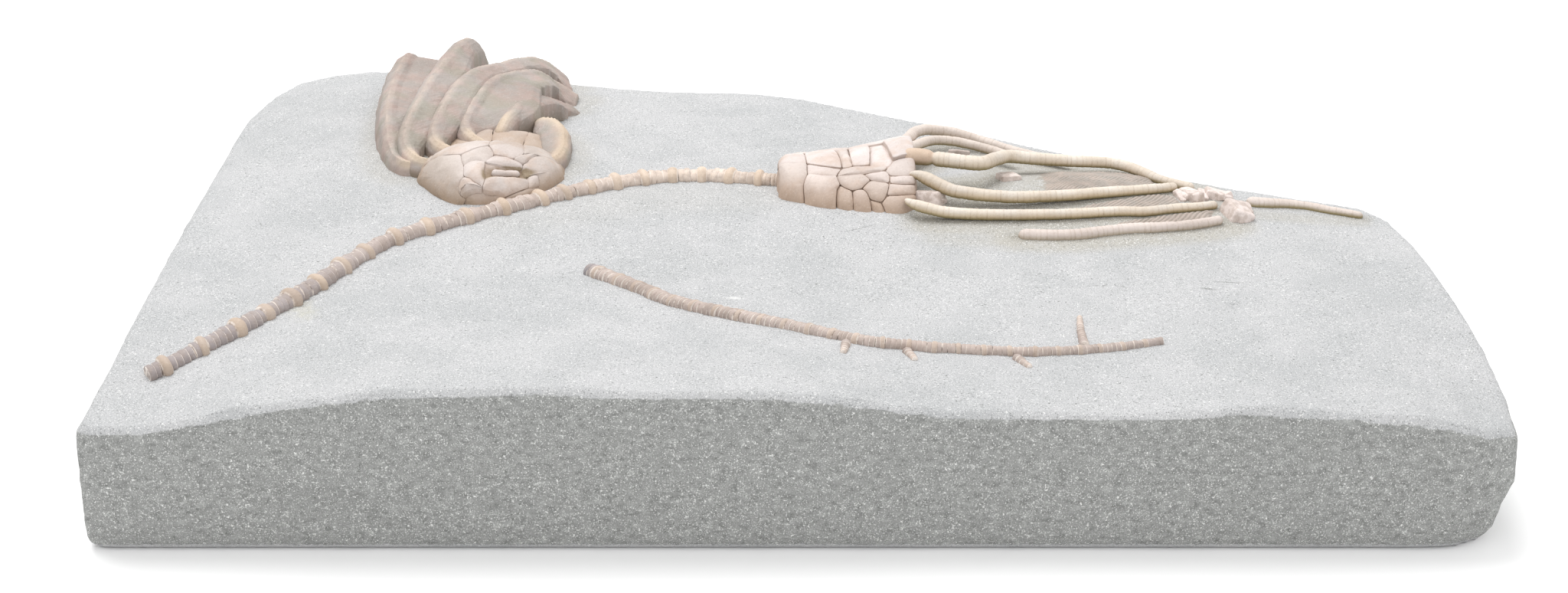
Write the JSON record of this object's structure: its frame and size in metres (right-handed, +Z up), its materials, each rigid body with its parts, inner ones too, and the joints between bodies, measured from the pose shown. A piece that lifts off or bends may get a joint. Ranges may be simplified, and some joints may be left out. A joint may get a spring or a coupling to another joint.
{
  "type": "crinoid fossil plate",
  "caption": "Rough grey siltstone slab holding sea lilies in relief: plated cups, spread and swept-back arms, ringed stems; rests on its flat underside.",
  "frame": {"origin": "centre of the plate's plan at the height of its underside", "axes": "+X along the sawn front edge to the right, +Y from the front edge to the back, +Z up out of the prepared top"},
  "size_m": [0.2066, 0.1618, 0.0325],
  "materials": {
    "siltstone": "dusty matt grey siltstone, smooth prepared top, rough broken sides",
    "stem": "matt pinkish brown calcite, ringed",
    "cup": "satin pinkish tan calcite plates with darker seams",
    "arm": "satin cream calcite, beaded, with dark sutures",
    "fan": "matt grey brown calcite, finely striped",
    "chip": "satin pale pink calcite",
    "left_arm": "matt light brown calcite with feathered flanks"
  },
  "bodies": {
    "root": {"matrix_slab": "siltstone", "long_stem": "stem", "short_stem": "stem", "cirrus_1": "stem", "cirrus_2": "stem", "cirrus_3": "stem", "cirrus_4": "stem", "right_cup": "cup", "left_cup": "cup", "right_arm_front": "arm", "right_arm_middle": "arm", "right_arm_back": "arm", "right_arm_outer_loop": "arm", "right_arm_inner_loop": "arm", "right_arm_low": "arm", "right_arm_edge": "arm", "pinnule_fan_back": "fan", "pinnule_fan_middle": "fan", "pinnule_fan_front": "fan", "chip_behind_arm": "chip", "chip_between_arms": "chip", "chip_at_cup": "chip", "tip_fragment_ridge": "chip", "tip_fragment_large": "chip", "tip_fragment_small": "chip", "left_arm_1": "left_arm", "left_arm_2": "left_arm", "left_arm_3": "left_arm", "left_arm_4": "left_arm", "left_arm_5": "left_arm", "left_arm_6": "left_arm"}
  },
  "joints": []
}
